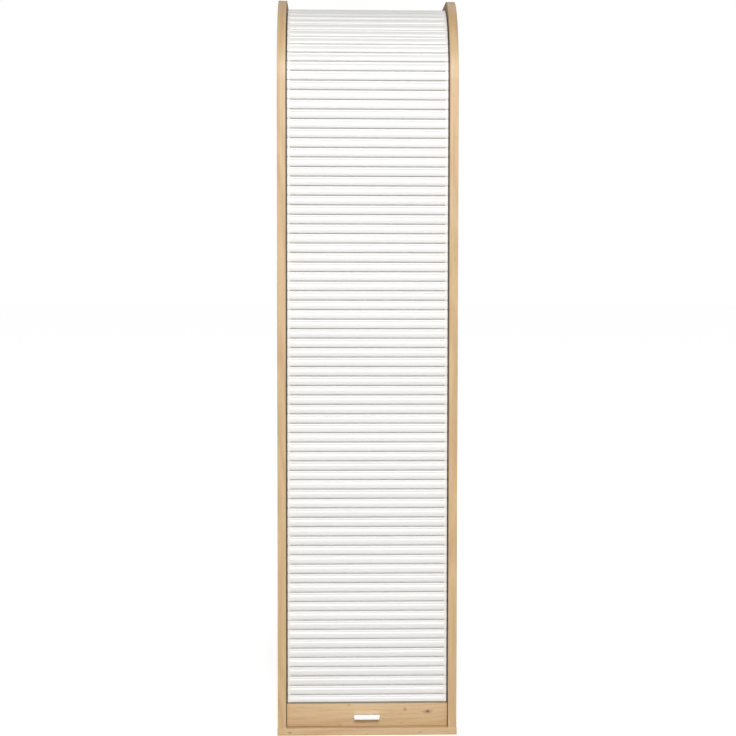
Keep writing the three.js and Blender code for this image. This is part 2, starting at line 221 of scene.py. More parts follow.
oak = {
    "figure": [(0.28, "#D9BC94"), (0.53, "#CCAB7F"), (0.82, "#B08D63")],
    "drift": [(0.35, "#D3B784"), (0.65, "#D0A986")],
    "pore": "#94734B", "knot": "#6E5138",
    "plankWidth": 128,      # the print repeats planks of about this width
    "plankShift": 0.37,     # where the first plank begins, as a share of its width
    "plankSpread": 3.0,     # each plank is cut up to this many metres further along the trunk
    "pithSpread": 0.5,      # and with the pith up to this share of its width aside
    "ringSpacing": 7.5,     # distance between two growth rings
    "pithDepth": 55,        # how far from the origin the trunk's middle lay, on the depth axis
    "trunkTilt": 0.022,     # the trunk leans from the cut, which draws the arches
    "wanderReach": 26,      # how far the rings stray from true circles
    # noises drawn out along the grain: length, width, detail. Real pores are 0.3 mm wide,
    # and are drawn coarser so that they show
    "noises": {"wander": (420, 60, 2.0), "fibres": (340, 5, 3.0), "tone": (600, 70, 2.0),
               "drift": (260, 9, 1.0), "pores": (28, 1.4, 1.0)},
    "ringShare": 0.20, "fibreShare": 0.50, "toneShare": 0.36, "driftShare": 0.35,
    # in knot radii: how far off rings bend, and by how much, and where heart and halo fade, each
    # from one distance to another and with its share of the depth
    "knotBendReach": 5, "knotBend": 2.5, "knotHeart": (0.7, 2.2, 1.0), "knotHalo": (1.0, 3.0, 0.3),
    "poreRange": (0.62, 0.74), "poreShare": 0.35, "poreDepth": 0.08,
    "roughness": 0.42, "roughnessSpread": 0.05, "dullFrom": 0.8, "dullAlong": 0.6,
    "ior": 1.5, "relief": 0.35,
}


def closeMaterial(tree, colour, height, relief, depth, surface):
    # What each of these materials ends in: relief, surface and output
    bump = addNode(tree, "ShaderNodeBump", {
        "Strength": relief, "Distance": metres(depth), "Height": height})
    shader = addNode(tree, "ShaderNodeBsdfPrincipled", {
        "Base Color": colour, "Normal": bump, **surface})
    addNode(tree, "ShaderNodeOutputMaterial", [shader])


def oakDecor(name, axes, alongAttribute="", knots=(), paler=0.0, glossier=0.0):
    # Oak print under pressed melamine: pale lengthwise figure, satin gloss, fine pores.
    # axes names the directions along the grain, across it and into the board.
    material, tree = newMaterial(name)
    place = addNode(tree, "ShaderNodeTexCoord").outputs["Object"]
    parts = addNode(tree, "ShaderNodeSeparateXYZ", [place])
    along, across, deep = (parts.outputs[axis] for axis in axes)
    if alongAttribute:
        # a band that follows a curved edge has its figure drawn out flat
        along = addNode(tree, "ShaderNodeAttribute", attribute_name=alongAttribute).outputs["Fac"]
        deep = 0.0
    grain = addNode(tree, "ShaderNodeCombineXYZ", [along, across, deep])
    noises = {}
    for label, (length, width, detail) in oak["noises"].items():
        drawn = addNode(tree, "ShaderNodeMapping", {
            "Vector": grain, "Location": (len(noises), 0, 0),
            "Scale": (perMetre(length), perMetre(width), perMetre(width))})
        noises[label] = addNode(tree, "ShaderNodeTexNoise", {
            "Vector": drawn, "Scale": 1.0, "Detail": detail})

    # growth rings: the distance from a leaning pith, a new one for each printed plank
    width = metres(oak["plankWidth"])
    plankPlace = addNode(tree, "ShaderNodeMath", [
        across, 1 / width, oak["plankShift"]], operation="MULTIPLY_ADD")
    plank = addNode(tree, "ShaderNodeMath", [plankPlace], operation="FLOOR")
    luck = addNode(tree, "ShaderNodeTexWhiteNoise", {"W": plank}, noise_dimensions="1D")
    offCentre = addNode(tree, "ShaderNodeMath", [plankPlace], operation="FRACT")
    offCentre = addNode(tree, "ShaderNodeMath", [
        luck, oak["pithSpread"], offCentre], operation="MULTIPLY_ADD")
    acrossTrunk = addNode(tree, "ShaderNodeMath", [
        offCentre, width, -width / 2], operation="MULTIPLY_ADD")
    shifted = addNode(tree, "ShaderNodeMath", [
        luck, oak["plankSpread"], along], operation="MULTIPLY_ADD")
    leaning = addNode(tree, "ShaderNodeMath", [
        shifted, oak["trunkTilt"], deep], operation="MULTIPLY_ADD")
    towardsPith = addNode(tree, "ShaderNodeMath", [leaning, metres(oak["pithDepth"])], operation="ADD")
    fromPith = addNode(tree, "ShaderNodeCombineXYZ", [acrossTrunk, towardsPith])
    radius = addNode(tree, "ShaderNodeVectorMath", [fromPith], operation="LENGTH").outputs["Value"]
    radius = addNode(tree, "ShaderNodeMath", [
        noises["wander"], metres(oak["wanderReach"]), radius], operation="MULTIPLY_ADD")
    dark = 0.0
    for knot in knots:
        offset = addNode(tree, "ShaderNodeVectorMath", [
            place, [metres(v) for v in knot["at"]]], operation="SUBTRACT")
        flat = addNode(tree, "ShaderNodeVectorMath", [
            offset, (knot["stretch"], 0, 1.0)], operation="MULTIPLY")
        distance = addNode(tree, "ShaderNodeVectorMath", [flat], operation="LENGTH").outputs["Value"]
        # the rings part round the knot, and its heart is dark
        size = metres(knot["radius"])
        bend = addNode(tree, "ShaderNodeMapRange", {
            "Value": distance, "From Min": 0.0, "From Max": size * oak["knotBendReach"],
            "To Min": size * oak["knotBend"], "To Max": 0.0}, interpolation_type="SMOOTHSTEP")
        radius = addNode(tree, "ShaderNodeMath", [radius, bend], operation="ADD")
        ragged = addNode(tree, "ShaderNodeMath", [
            noises["pores"], size, distance], operation="MULTIPLY_ADD")
        for reach, (start, end, share) in ((ragged, oak["knotHeart"]), (distance, oak["knotHalo"])):
            shade = addNode(tree, "ShaderNodeMapRange", {
                "Value": reach, "From Min": size * start, "From Max": size * end,
                "To Min": knot["depth"] * share, "To Max": 0.0}, interpolation_type="SMOOTHERSTEP")
            dark = addNode(tree, "ShaderNodeMath", [shade, dark], operation="MAXIMUM")
    turns = addNode(tree, "ShaderNodeMath", [
        radius, 2 * math.pi * perMetre(oak["ringSpacing"])], operation="MULTIPLY")
    rings = addNode(tree, "ShaderNodeMath", [turns], operation="SINE")

    # the printed colour: rings, fibres and broad tone mixed, warm and cool drift, pores, knots
    share = oak["ringShare"] / 2
    mixture = addNode(tree, "ShaderNodeMath", [rings, share, share - paler], operation="MULTIPLY_ADD")
    for label, key in (("fibres", "fibreShare"), ("tone", "toneShare")):
        mixture = addNode(tree, "ShaderNodeMath", [
            noises[label], oak[key], mixture], operation="MULTIPLY_ADD")
    colour = addNode(tree, "ShaderNodeValToRGB", [mixture], stops=oak["figure"])
    drift = addNode(tree, "ShaderNodeValToRGB", [noises["drift"]], stops=oak["drift"])
    low, high = oak["poreRange"]
    pores = addNode(tree, "ShaderNodeMapRange", {
        "Value": noises["pores"], "From Min": low, "From Max": high})
    deepPores = addNode(tree, "ShaderNodeMath", [pores, oak["poreShare"]], operation="MULTIPLY")
    layers = [(oak["driftShare"], drift), (deepPores, oak["pore"])]
    if knots:
        layers.append((dark, oak["knot"]))
    for amount, over in layers:
        colour = addNode(tree, "ShaderNodeMix", {
            "Factor_Float": amount, "A_Color": colour, "B_Color": over}, data_type="RGBA")

    # the pressed pores break up the gloss where the board is seen along its face
    middle = oak["roughness"] - glossier
    low, high = (middle + sign * oak["roughnessSpread"] for sign in (-1, 1))
    sheen = addNode(tree, "ShaderNodeMapRange", {
        "Value": noises["fibres"], "To Min": low, "To Max": high})
    flat = addNode(tree, "ShaderNodeLayerWeight").outputs["Facing"]
    dulled = addNode(tree, "ShaderNodeMapRange", {
        "Value": flat, "From Min": oak["dullFrom"], "To Min": 0.0, "To Max": oak["dullAlong"]})
    sheen = addNode(tree, "ShaderNodeMath", [sheen, dulled], operation="ADD")
    height = addNode(tree, "ShaderNodeMath", [1.0, pores], operation="SUBTRACT")
    closeMaterial(tree, colour, height, oak["relief"], oak["poreDepth"],
                  {"Roughness": sheen, "IOR": oak["ior"]})
    return material


# Marks of the making: the noise's detail, their spread in gloss, and their relief
plastic = {"detail": 2.0, "glossSpread": 0.05, "relief": 0.3, "surface": {"IOR": 1.53}, "markShare": 0.35}
metal = {"detail": 3.0, "glossSpread": 0.06, "relief": 0.25, "surface": {"Metallic": 1.0}}
pressing = {"detail": 3.0, "dustScale": 0.4, "dustShare": 0.4, "relief": 0.5, "ior": 1.5}


def drawnMaterial(name, kind, low, high, roughness, grain, stretch, depth, toneName="", hingeShade=""):
    # Drawn, moulded or brushed: the marks show in two close tones, in gloss and in relief
    material, tree = newMaterial(name)
    place = addNode(tree, "ShaderNodeTexCoord").outputs["Object"]
    scale = [perMetre(grain * part) for part in stretch]
    spread = addNode(tree, "ShaderNodeMapping", {"Vector": place, "Scale": scale})
    marks = addNode(tree, "ShaderNodeTexNoise", {
        "Vector": spread, "Scale": 1.0, "Detail": kind["detail"]})
    tone = marks
    if toneName:
        batch = addNode(tree, "ShaderNodeAttribute", attribute_name=toneName).outputs["Fac"]
        tone = addNode(tree, "ShaderNodeMix", {
            "Factor_Float": kind["markShare"], "A_Float": batch, "B_Float": marks})
    colour = addNode(tree, "ShaderNodeMix", {
        "Factor_Float": tone, "A_Color": low, "B_Color": high}, data_type="RGBA")
    if hingeShade:
        # the strip in the joint is drawn from a softer plastic, and its greyer tone is painted shade that
        # deepens the joint lines
        jointShade = addNode(tree, "ShaderNodeAttribute", attribute_name="hingeShade").outputs["Fac"]
        colour = addNode(tree, "ShaderNodeMix", {
            "Factor_Float": jointShade, "A_Color": colour, "B_Color": hingeShade}, data_type="RGBA")
    sheen = addNode(tree, "ShaderNodeMapRange", {
        "Value": marks, "To Min": roughness - kind["glossSpread"],
        "To Max": roughness + kind["glossSpread"]})
    closeMaterial(tree, colour, marks, kind["relief"], depth, {"Roughness": sheen, **kind["surface"]})
    return material


def pressedBoard(name, chips, chip, roughness, depth):
    # Pressed chips or fibres, and the dowels' beech: matt, mottled in several browns
    material, tree = newMaterial(name)
    place = addNode(tree, "ShaderNodeTexCoord").outputs["Object"]
    cells = addNode(tree, "ShaderNodeTexVoronoi", {"Vector": place, "Scale": perMetre(chip)})
    pick = addNode(tree, "ShaderNodeSeparateColor", [cells.outputs["Color"]])
    dust = addNode(tree, "ShaderNodeTexNoise", {
        "Vector": place, "Scale": pressing["dustScale"] * perMetre(chip), "Detail": pressing["detail"]})
    share = addNode(tree, "ShaderNodeMix", {
        "Factor_Float": pressing["dustShare"], "A_Float": pick.outputs["Red"], "B_Float": dust})
    colour = addNode(tree, "ShaderNodeValToRGB", [share], stops=chips)
    closeMaterial(tree, colour, share, pressing["relief"], depth,
                  {"Roughness": roughness, "IOR": pressing["ior"]})
    return material


# Knots: place, size, how dark, and the factor on X that draws them out along the grain
railKnots = [
    {"at": (99, -198, 62.6), "radius": 2.0, "depth": 0.8, "stretch": 0.7},
    {"at": (158, -198, 57), "radius": 3.2, "depth": 1.0, "stretch": 0.55},
    {"at": (43, -198, 37), "radius": 1.8, "depth": 0.25, "stretch": 0.5},
    {"at": (-47, -198, 75), "radius": 2.0, "depth": 0.4, "stretch": 0.8},
    {"at": (-71, -198, 23), "radius": 1.8, "depth": 0.35, "stretch": 0.6},
]
baseKnots = [
    {"at": (138, -220, 8), "radius": 1.6, "depth": 0.4, "stretch": 0.7},
    {"at": (-201, -220, 8), "radius": 1.8, "depth": 0.5, "stretch": 0.7},
]

oakUpright = oakDecor("matOakDecorUpright", "ZYX")
oakShelf = oakDecor("matOakDecorShelf", "XYZ")
oakRail = oakDecor("matOakDecorRail", "XZY", knots=railKnots, paler=0.2)
oakBase = oakDecor("matOakDecorBase", "XZY", knots=baseKnots, paler=0.1, glossier=0.2)
oakSideBand = oakDecor("matOakSideEdging", "ZXY", alongAttribute="along")
oakFlatBand = oakDecor("matOakFlatEdging", "XZY")
chipboard = pressedBoard(
    "matRawChipboard", [(0.2, "#8E6B45"), (0.5, "#B79468"), (0.8, "#D6BC92")],
    chip=2.2, roughness=0.85, depth=0.25)
hardboard = pressedBoard(
    "matPressedHardboard", [(0.2, "#B99873"), (0.6, "#C9AC86"), (0.9, "#D8BE9A")],
    chip=1.1, roughness=0.7, depth=0.06)
beechWood = pressedBoard(
    "matTurnedBeech", [(0.2, "#C69E70"), (0.6, "#D8B58A"), (0.9, "#E2C49C")],
    chip=0.8, roughness=0.6, depth=0.05)
# white slats whose joints are greyer: painted shade in the joints
whiteSlat = drawnMaterial(
    "matExtrudedWhitePvc", plastic, "#E9E8E6", "#F1F0EE", roughness=0.30, grain=3.0,
    stretch=(40, 1, 1), depth=0.03, toneName="slatTone", hingeShade="#D4D2CF")
trackPlastic = drawnMaterial(
    "matExtrudedBrownPvc", plastic, "#2F2A26", "#3E3732", roughness=0.42, grain=1.5,
    stretch=(1, 1, 30), depth=0.02)
# grey of the strip over the lead rail: painted shade
jointShadePlastic = drawnMaterial(
    "matGreyPvcPaintedShade", plastic, "#85826F", "#918E7B", roughness=0.5, grain=1.5,
    stretch=(30, 1, 1), depth=0.02)
glidePlastic = drawnMaterial(
    "matMouldedNylon", plastic, "#2A2725", "#35312E", roughness=0.38, grain=0.8,
    stretch=(1, 1, 1), depth=0.02)
satinAluminium = drawnMaterial(
    "matAnodisedAluminium", metal, "#D3D3D1", "#E4E4E2", roughness=0.50, grain=0.35,
    stretch=(60, 1, 1), depth=0.01)
zincSteel = drawnMaterial(
    "matZincPlatedSteel", metal, "#A9ABAD", "#C3C5C7", roughness=0.34, grain=0.9,
    stretch=(1, 1, 1), depth=0.02)
print("materials ready")


# Mesh helpers

def finishPiece(mesh, name, body, nodes, angle=35):
    # Names the mesh, shades it, and seats it on its body in place of its CAD nodes
    mesh.name = name
    mesh.polygons.foreach_set("use_smooth", [True] * len(mesh.polygons))
    mesh.set_sharp_from_angle(angle=math.radians(angle))
    piece = addObject(name, mesh)
    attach(piece, body)
    if nodes:
        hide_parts(*nodes)
    return piece


def meshFrom(shape, name, materials):
    bmesh.ops.recalc_face_normals(shape, faces=shape.faces)
    mesh = bpy.data.meshes.new(name)
    shape.to_mesh(mesh)
    shape.free()
    for material in materials:
        mesh.materials.append(material)
    return mesh


def finishShape(shape, name, finish, body, nodes, angle=35):
    return finishPiece(meshFrom(shape, name, [finish]), name, body, nodes, angle)


def roundEdges(shape, edges, radius, steps):
    bmesh.ops.bevel(shape, geom=edges, offset=metres(radius), segments=steps, profile=0.5,
                    affect="EDGES", clamp_overlap=True)


def boardShape(low, high, radius=0.0, steps=2):
    # A board between two corners, with softened edges
    shape = bmesh.new()
    size = Vector(high) - Vector(low)
    middle = (Vector(high) + Vector(low)) / 2
    for corner in bmesh.ops.create_cube(shape, size=1.0)["verts"]:
        corner.co = Vector(corner.co[i] * size[i] + middle[i] for i in range(3))
    if radius:
        roundEdges(shape, list(shape.edges), radius, steps)
    return shape


def skinRings(shape, rings):
    # Faces from each ring of corners to the next, and a cap at both ends
    for near, far in zip(rings, rings[1:]):
        for i in range(len(near)):
            j = (i + 1) % len(near)
            shape.faces.new((near[i], near[j], far[j], far[i]))
    shape.faces.new(rings[0])
    shape.faces.new(rings[-1])


def addPrism(shape, outline, fromX, toX):
    # A side view of (y, z) points, stretched from one X to another
    skinRings(shape, [[shape.verts.new((x, y, z)) for y, z in outline] for x in (fromX, toX)])


def addRod(shape, radius, start, end, sides=16):
    axis = Vector(end) - Vector(start)
    turn = axis.to_track_quat("Z", "Y").to_matrix().to_4x4()
    place = Matrix.Translation((Vector(start) + Vector(end)) / 2) @ turn
    bmesh.ops.create_cone(shape, cap_ends=True, segments=sides, radius1=radius, radius2=radius,
                          depth=axis.length, matrix=place)


def arcPoints(centre, radius, fromAngle, toAngle, steps):
    points = []
    for i in range(steps + 1):
        angle = math.radians(fromAngle + (toAngle - fromAngle) * i / steps)
        points.append((centre[0] + radius * math.cos(angle), centre[1] + radius * math.sin(angle)))
    return points


def evaluatedMesh(item):
    # What an object's modifiers make of it, as a plain mesh
    depsgraph = bpy.context.evaluated_depsgraph_get()
    return bpy.data.meshes.new_from_object(item.evaluated_get(depsgraph))


def cutAway(mesh, cutterMesh):
    # The mesh less the cutter
    board, cutter = addObject("boardBeingCut", mesh), addObject("boardCutter", cutterMesh)
    cut = board.modifiers.new("cut", "BOOLEAN")
    setAll(cut, operation="DIFFERENCE", solver="EXACT", object=cutter)
    result = evaluatedMesh(board)
    for item in (board, cutter):
        bpy.data.objects.remove(item)
    return result


def grownMesh(tree, values, start):
    # What a Geometry Nodes tree makes of a starting mesh
    grower = addObject("grower", start)
    modifier = grower.modifiers.new("grow", "NODES")
    modifier.node_group = tree
    for item in tree.interface.items_tree:
        if item.in_out == "INPUT" and item.name in values:
            modifier[item.identifier] = values[item.name]
    mesh = evaluatedMesh(grower)
    grower.modifiers.remove(modifier)
    bpy.data.objects.remove(grower)
    return mesh


def newTree(name, inputs):
    # A Geometry Nodes tree that takes a starting mesh, its own inputs and a finish
    tree = bpy.data.node_groups.new(name, "GeometryNodeTree")
    for label, kind in {"Geometry": "Geometry", **inputs, "Finish": "Material"}.items():
        tree.interface.new_socket(label, in_out="INPUT", socket_type="NodeSocket" + kind)
    tree.interface.new_socket("Geometry", in_out="OUTPUT", socket_type="NodeSocketGeometry")
    return tree, addNode(tree, "NodeGroupInput").outputs


def closeTree(tree, given, made):
    # Turns what the tree made into plain geometry in its finish
    real = addNode(tree, "GeometryNodeRealizeInstances", [made])
    done = addNode(tree, "GeometryNodeSetMaterial", {"Geometry": real, "Material": given["Finish"]})
    addNode(tree, "NodeGroupOutput", [done])
    return tree


def polyline(points):
    mesh = bpy.data.meshes.new("polyline")
    mesh.from_pydata(points, [(i, i + 1) for i in range(len(points) - 1)], [])
    return mesh


# Lead rail's sizes, which the curtain's first slat needs too

leadRail = {
    "faceThickness": 2.8, "bodyInset": 2.5, "edgeRound": 0.3, "roundSteps": 2, "edgingThickness": 1.0,
    "topGap": 1.0,          # the rail stops this far below its place in the frame
    # the grey strip over the rail, which paints the shade in the joint
    "shadeStripHalf": 206.2, "shadeStripFront": 2.6, "shadeStripThickness": 2.2, "shadeStripHeight": 3.4,
    "shadeStripSunk": 0.2, "shadeStripRound": 0.4,
}

# The curtain's path, measured along its hinge line from the top of the lead rail

curtain = {
    "slatPitch": 24.5, "slatThickness": 8.0, "webThickness": 3.0,
    "frontBend": 210.0, "rearBend": 60.0,
    "settle": 2.2,          # the slats hang this much lower than their pitch line
    "firstSlatCut": 4.6,    # the first slat's face starts this far above the rail
    "footShare": 0.1,       # what is left of the height of the first slat's foot
    "hair": 0.01,           # keeps the trimmed slat off the rail and off its own web
    "pathSteps": 12,
    # the number of each stretch's last slat
    "frontSlats": 64, "arcSlats": 79, "topSlats": 83, "bendSlats": 88,
    "foldedShare": 0.0006,  # what is left of the first stretch when the door is open
}
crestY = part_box("curtain_front")[0].y
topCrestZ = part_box("curtain_top")[1].z
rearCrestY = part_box("tail_slat")[1].y
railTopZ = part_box("lead_rail")[1].z
slatPitch = metres(curtain["slatPitch"])
hingeDepth = metres(curtain["slatThickness"] - curtain["webThickness"] / 2)
frontBend, rearBend = metres(curtain["frontBend"]), metres(curtain["rearBend"])
frontRadius, rearRadius = frontBend - hingeDepth, rearBend - hingeDepth
frontCentre = (crestY + frontBend, topCrestZ - frontBend)
rearCentre = (rearCrestY - rearBend, topCrestZ - rearBend)
frontEnd = frontCentre[1] - railTopZ
arcEnd = frontEnd + frontRadius * math.pi / 2
topEnd = arcEnd + rearCentre[0] - frontCentre[0]
bendEnd = topEnd + rearRadius * math.pi / 2


def pathPoint(distance, height=0.0):
    # (y, z) at a distance along the path, at a height outside the hinge line
    if distance <= frontEnd:
        return crestY + hingeDepth - height, railTopZ + distance
    if distance <= arcEnd:
        angle = (distance - frontEnd) / frontRadius
        reach = frontRadius + height
        return frontCentre[0] - reach * math.cos(angle), frontCentre[1] + reach * math.sin(angle)
    if distance <= topEnd:
        return frontCentre[0] + distance - arcEnd, topCrestZ - hingeDepth + height
    if distance <= bendEnd:
        angle = (distance - topEnd) / rearRadius
        reach = rearRadius + height
        return rearCentre[0] + reach * math.sin(angle), rearCentre[1] + reach * math.cos(angle)
    return rearCrestY - hingeDepth + height, rearCentre[1] - distance + bendEnd


# Curtain slats: one extruded slat with its end caps, repeated along the path

slat = {
    "bodyHalf": 200.4, "capHalf": 207.0, "tongueHalf": 215.3, "hingeHeight": 1.7, "toneSeed": 7,
    # (up the slat, out from its back): joint, broad bead, small step, knuckle, joint
    "face": [(0.7, 1.6), (0.4, 3.4), (0.65, 5.0), (1.9, 6.3), (4.0, 7.3), (6.4, 7.85), (9.0, 8.0),
             (12.0, 7.85), (14.6, 7.45), (16.3, 6.85), (17.1, 6.45), (17.7, 6.85), (19.0, 7.35),
             (20.9, 7.35), (22.5, 6.6), (23.45, 5.2), (23.65, 3.2), (23.95, 1.6)],
    "back": [(24.3, 1.2), (24.3, 0.2), (0.2, 0.2), (0.2, 1.2)],
    "cap": [(0.12, 0.4), (0.12, 6.9), (0.6, 7.5), (4.0, 7.9), (9.0, 8.0), (14.0, 7.8), (20.5, 7.5),
            (23.8, 7.2), (24.38, 6.6), (24.38, 0.4)],
    "web": [(0.1, 0.0), (24.4, 0.0), (24.4, 3.0), (0.1, 3.0)],
    # the cap's outer corners: their size, how far the face falls back there, and how much of both
    # applies at each share of the way out
    "capRound": 2.4, "capLean": 0.6, "capShares": [(0.0, 0.0), (0.6, 0.2), (0.9, 0.55), (1.0, 1.0)],
    "capSunk": 0.4, "tongueSunk": 1.0,
}


def slatShape():
    # Slat's own frame: Z up the slat, -Y out, origin on the hinge line
    shape = bmesh.new()
    hingeY, middle = metres(curtain["webThickness"] / 2), slatPitch / 2
    body, capEnd, tongueEnd, corner, lean = (
        metres(slat[key]) for key in ("bodyHalf", "capHalf", "tongueHalf", "capRound", "capLean"))

    def placed(outline):
        return [(hingeY - metres(height), metres(up)) for up, height in outline]

    addPrism(shape, placed(slat["face"] + slat["back"]), -body, body)
    # the caps are cut back round their outer corners, which gives the scalloped edge
    stations = [(body - metres(slat["capSunk"]), 0.0)]
    stations += [(capEnd - corner * (1 - share), squeeze) for share, squeeze in slat["capShares"]]
    for side in (-1, 1):
        rings = []
        for x, squeeze in stations:
            ring = []
            for y, z in placed(slat["cap"]):
                z -= (z - middle) / middle * squeeze * corner
                y += squeeze * lean if y < 0 else 0.0
                ring.append(shape.verts.new((side * x, y, z)))
            rings.append(ring)
        skinRings(shape, rings)
        tongue = sorted((side * (capEnd - metres(slat["tongueSunk"])), side * tongueEnd))
        addPrism(shape, placed(slat["web"]), *tongue)
    mesh = meshFrom(shape, "slatShape", [])
    # points in the joints take the greyer tone, which is painted shade
    hingeShade = mesh.attributes.new("hingeShade", "FLOAT", "POINT")
    deepest = hingeY - metres(slat["hingeHeight"])
    hingeShade.data.foreach_set("value", [float(corner.co.y > deepest) for corner in mesh.vertices])
    return addObject("slatShape", mesh)


def slatTree():
    tree, given = newTree("slatsAlongPath", {
        "Slat": "Object", "Slat Pitch": "Float", "Slat Count": "Int", "First Slat": "Int"})
    path = addNode(tree, "GeometryNodeMeshToCurve", [given["Geometry"]])
    index = addNode(tree, "GeometryNodeInputIndex")

    def along(step):
        number = addNode(tree, "ShaderNodeMath", [index, float(step)], operation="ADD")
        length = addNode(tree, "ShaderNodeMath", [number, given["Slat Pitch"]], operation="MULTIPLY")
        return addNode(tree, "GeometryNodeSampleCurve", {"Curves": path, "Length": length},
                       mode="LENGTH").outputs["Position"]

    lower, upper = along(0), along(1)
    chord = addNode(tree, "ShaderNodeVectorMath", [upper, lower], operation="SUBTRACT")
    turn = addNode(tree, "FunctionNodeAlignRotationToVector", {
        "Vector": chord}, axis="Z", pivot_axis="X")
    points = addNode(tree, "GeometryNodePoints", {"Count": given["Slat Count"], "Position": lower})
    shape = addNode(tree, "GeometryNodeObjectInfo", {"Object": given["Slat"]}).outputs["Geometry"]
    placed = addNode(tree, "GeometryNodeInstanceOnPoints", {
        "Points": points, "Instance": shape, "Rotation": turn})
    number = addNode(tree, "ShaderNodeMath", [index, given["First Slat"]], operation="ADD")
    tone = addNode(tree, "FunctionNodeRandomValue", {
        "Min_001": 0.0, "Max_001": 1.0, "ID": number, "Seed": slat["toneSeed"]}, data_type="FLOAT")
    toned = addNode(tree, "GeometryNodeStoreNamedAttribute", {
        "Geometry": placed, "Name": "slatTone", "Value": tone}, data_type="FLOAT", domain="INSTANCE")
    return closeTree(tree, given, toned)


def trimFirstSlat(mesh):
    # Over the rail only the thin web goes down to the joint
    railZ, hair = railTopZ - metres(leadRail["topGap"]), metres(curtain["hair"])
    cutZ = railZ + metres(curtain["firstSlatCut"])
    webY = crestY + hingeDepth - metres(curtain["webThickness"] / 2) - hair
    for corner in mesh.vertices:
        if corner.co.z < cutZ and corner.co.y < webY:
            corner.co.z = cutZ - (cutZ - corner.co.z) * curtain["footShare"]
        corner.co.z = max(corner.co.z, railZ + hair)


def addCurtain():
    pattern = slatShape()
    tree = slatTree()
    counts = [0, curtain["frontSlats"], curtain["arcSlats"], curtain["topSlats"], curtain["bendSlats"],
              curtain["bendSlats"] + 1]
    stretches = {"frontSlats": "curtain_front", "bendSlats": "curtain_arc", "topSlats": "curtain_top",
                 "rearBendSlats": "curtain_rear_bend", "tailSlat": "tail_slat"}
    made = {}
    for (name, node), first, last in zip(stretches.items(), counts, counts[1:]):
        body = "curtain_tail" if node == "tail_slat" else "carcass"
        points = []
        for i in range(curtain["pathSteps"] * (last - first) + 1):
            place = pathPoint((first + i / curtain["pathSteps"]) * slatPitch - metres(curtain["settle"]))
            points.append((0.0, *place))
        values = {"Slat": pattern, "Slat Pitch": slatPitch, "Slat Count": last - first,
                  "First Slat": first, "Finish": whiteSlat}
        mesh = grownMesh(tree, values, polyline(points))
        if first == 0:
            trimFirstSlat(mesh)
        made[name] = finishPiece(mesh, name, body, [node], angle=40)
    bpy.data.objects.remove(pattern)
    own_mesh(made["frontSlats"])


addCurtain()
print("curtain ready")

# Edge banding: a 2 mm strip with rounded corners, its inner half let into the board

banding = {"thickness": 2.0, "proud": 1.0, "narrower": 0.03, "cornerRound": 0.95, "cornerSteps": 4}


def bandTree():
    tree, given = newTree("edgeBandAlongEdge", {
        "Band Width": "Float", "Band Thickness": "Float", "Corner Round": "Float",
        "Width Direction": "Vector"})
    edge = addNode(tree, "GeometryNodeMeshToCurve", [given["Geometry"]])
    length = addNode(tree, "GeometryNodeSplineParameter").outputs["Length"]
    marked = addNode(tree, "GeometryNodeStoreNamedAttribute", {
        "Geometry": edge, "Name": "along", "Value": length}, data_type="FLOAT", domain="POINT")
    steady = addNode(tree, "GeometryNodeSetCurveNormal", {
        "Curve": marked, "Normal": given["Width Direction"]}, mode="FREE")
    section = addNode(tree, "GeometryNodeCurvePrimitiveQuadrilateral", {
        "Width": given["Band Width"], "Height": given["Band Thickness"]}, mode="RECTANGLE")
    softened = addNode(tree, "GeometryNodeFilletCurve", {
        "Curve": section, "Count": banding["cornerSteps"], "Radius": given["Corner Round"]}, mode="POLY")
    strip = addNode(tree, "GeometryNodeCurveToMesh", {
        "Curve": steady, "Profile Curve": softened, "Fill Caps": True})
    return closeTree(tree, given, strip)


edgeTree = bandTree()


def addBand(name, points, width, direction, finish):
    values = {"Band Width": width - metres(banding["narrower"]),
              "Band Thickness": metres(banding["thickness"]),
              "Corner Round": metres(banding["cornerRound"]), "Width Direction": direction,
              "Finish": finish}
    finishPiece(grownMesh(edgeTree, values, polyline(points)), name, "carcass", [])


# Side panels: 22 mm boards with a quarter-round front top corner, routed and drilled

sidePanel = {
    "cornerRadius": 232.0, "cornerSteps": 48, "edgeRound": 0.25, "sharpAngle": 60,
    "trackGroove": 3.6, "trackGrooveDepth": 7.3, "grooveSteps": 48, "rearGrooveSteps": 24,
    "backGrooveDepth": 6.3, "backGrooveFit": 0.3,
    "pinHoleRadius": 2.8, "pinHoleDepth": 8.3, "pinHoleStep": 32.0,
    "overrun": 2.0,         # how far the cuts run out past the board
    "faceReach": 0.1,       # what lies this near to a face's plane belongs to the face
}
shelfNames = ["shelf_1", "shelf_2", "shelf_3"]


def panelOutline(inset):
    low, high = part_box("left_side_panel")
    radius = metres(sidePanel["cornerRadius"])
    centre = (low.y + radius, high.z - radius)
    arc = arcPoints(centre, radius - inset, 180, 90, sidePanel["cornerSteps"])
    return [(low.y + inset, low.z)] + arc + [(high.y, high.z - inset)], (high.y, low.z)


def grooveOutline(reach):
    # A band that reaches this far to both sides of the curtain's path
    floorZ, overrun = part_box("base_board")[1].z, metres(sidePanel["overrun"])
    bends = [(frontEnd, arcEnd, sidePanel["grooveSteps"]),
             (topEnd, bendEnd, sidePanel["rearGrooveSteps"])]
    distances = [floorZ - railTopZ - overrun]
    for start, end, steps in bends:
        distances += [start + (end - start) * i / steps for i in range(steps + 1)]
    distances.append(bendEnd + rearCentre[1] - floorZ + overrun)
    outer = [pathPoint(distance, reach) for distance in distances]
    inner = [pathPoint(distance, -reach) for distance in distances]
    return outer + inner[::-1]


